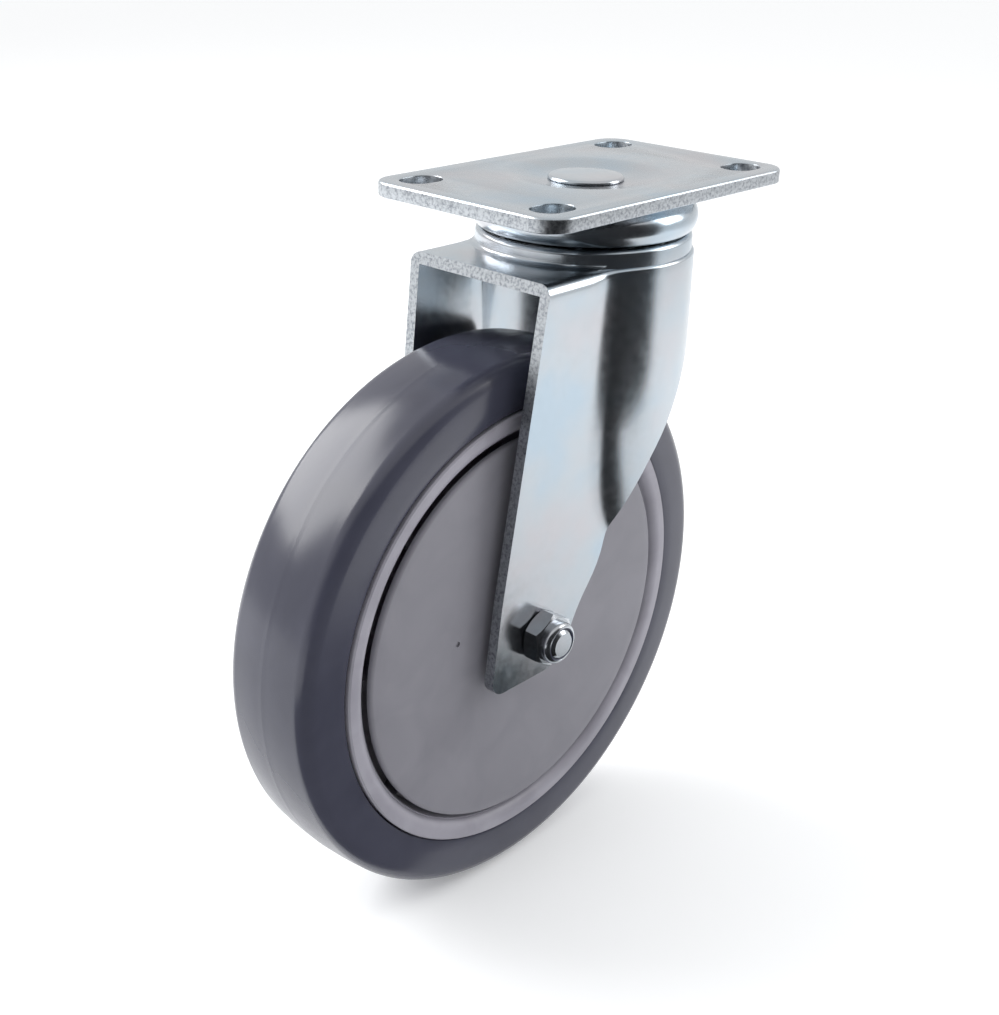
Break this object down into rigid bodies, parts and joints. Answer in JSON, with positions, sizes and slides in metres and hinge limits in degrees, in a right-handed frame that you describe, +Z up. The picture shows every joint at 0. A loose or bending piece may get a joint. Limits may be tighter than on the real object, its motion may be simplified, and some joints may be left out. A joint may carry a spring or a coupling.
{
  "type": "swivel plate caster wheel",
  "caption": "Swivel plate caster: slotted top plate, ball-race swivel head, pressed steel fork and a rubber-tyred wheel with disc guards.",
  "frame": {"origin": "where the swivel axis meets the plane of the plate's top face, the face that is bolted up against the gate or trolley", "axes": "+Z up, out of the plate's top face along the swivel axis; +X along the plate's long side, with the wheel trailing towards -X; +Y along the axle from the nut side to the bolt-head side"},
  "size_m": [0.158, 0.061, 0.187],
  "materials": {
    "zinc_plated_steel": "bright zinc plate with a faint blue tint, smooth satin-gloss",
    "bearing_steel": "ground and polished bearing steel",
    "tyre_rubber": "smooth dark grey thermoplastic rubber, soft gloss",
    "core_plastic": "light grey moulded plastic, satin",
    "guard_plastic": "mid grey moulded plastic, fine satin",
    "nylon": "dark blue-grey nylon"
  },
  "bodies": {
    "plate_assembly": {"top_plate": "zinc_plated_steel", "upper_race_ring": "zinc_plated_steel", "king_pin": "zinc_plated_steel", "lower_race_cup": "zinc_plated_steel", "king_pin_washer": "zinc_plated_steel"},
    "fork_assembly": {"swivel_fork": "zinc_plated_steel", "axle_bolt": "zinc_plated_steel", "axle_nut": "zinc_plated_steel", "axle_nut_insert": "nylon", "axle_sleeve": "bearing_steel", "bearing_inner_ring_near": "bearing_steel", "bearing_inner_ring_far": "bearing_steel", "thread_guard_near": "guard_plastic", "thread_guard_far": "guard_plastic"},
    "wheel": {"wheel_core": "core_plastic", "tyre": "tyre_rubber", "bearing_outer_ring_near": "bearing_steel", "bearing_outer_ring_far": "bearing_steel"},
    "upper_balls": {"upper_ball_row": "bearing_steel"},
    "lower_balls": {"lower_ball_row": "bearing_steel"},
    "near_bearing_balls": {"bearing_balls_near": "bearing_steel"},
    "far_bearing_balls": {"bearing_balls_far": "bearing_steel"}
  },
  "joints": [
    {"name": "swivel", "type": "hinge", "parent": "plate_assembly", "child": "fork_assembly", "pos_m": [0, 0, 0], "axis": [0, 0, 1], "continuous": true},
    {"name": "wheel_spin", "type": "hinge", "parent": "fork_assembly", "child": "wheel", "pos_m": [-0.0355, 0, -0.112], "axis": [0, 1, 0], "continuous": true},
    {"name": "upper_balls_orbit", "type": "hinge", "parent": "plate_assembly", "child": "upper_balls", "pos_m": [0, 0, -0.0106], "axis": [0, 0, 1], "continuous": true},
    {"name": "lower_balls_orbit", "type": "hinge", "parent": "plate_assembly", "child": "lower_balls", "pos_m": [0, 0, -0.0182], "axis": [0, 0, 1], "continuous": true},
    {"name": "near_bearing_balls_orbit", "type": "hinge", "parent": "fork_assembly", "child": "near_bearing_balls", "pos_m": [-0.0355, -0.0085, -0.112], "axis": [0, 1, 0], "continuous": true},
    {"name": "far_bearing_balls_orbit", "type": "hinge", "parent": "fork_assembly", "child": "far_bearing_balls", "pos_m": [-0.0355, 0.0085, -0.112], "axis": [0, 1, 0], "continuous": true}
  ],
  "couplings": [
    {"joint": "upper_balls_orbit", "follows": "swivel", "ratio": 0.5},
    {"joint": "lower_balls_orbit", "follows": "swivel", "ratio": 0.5},
    {"joint": "near_bearing_balls_orbit", "follows": "wheel_spin", "ratio": 0.61},
    {"joint": "far_bearing_balls_orbit", "follows": "wheel_spin", "ratio": 0.61}
  ]
}
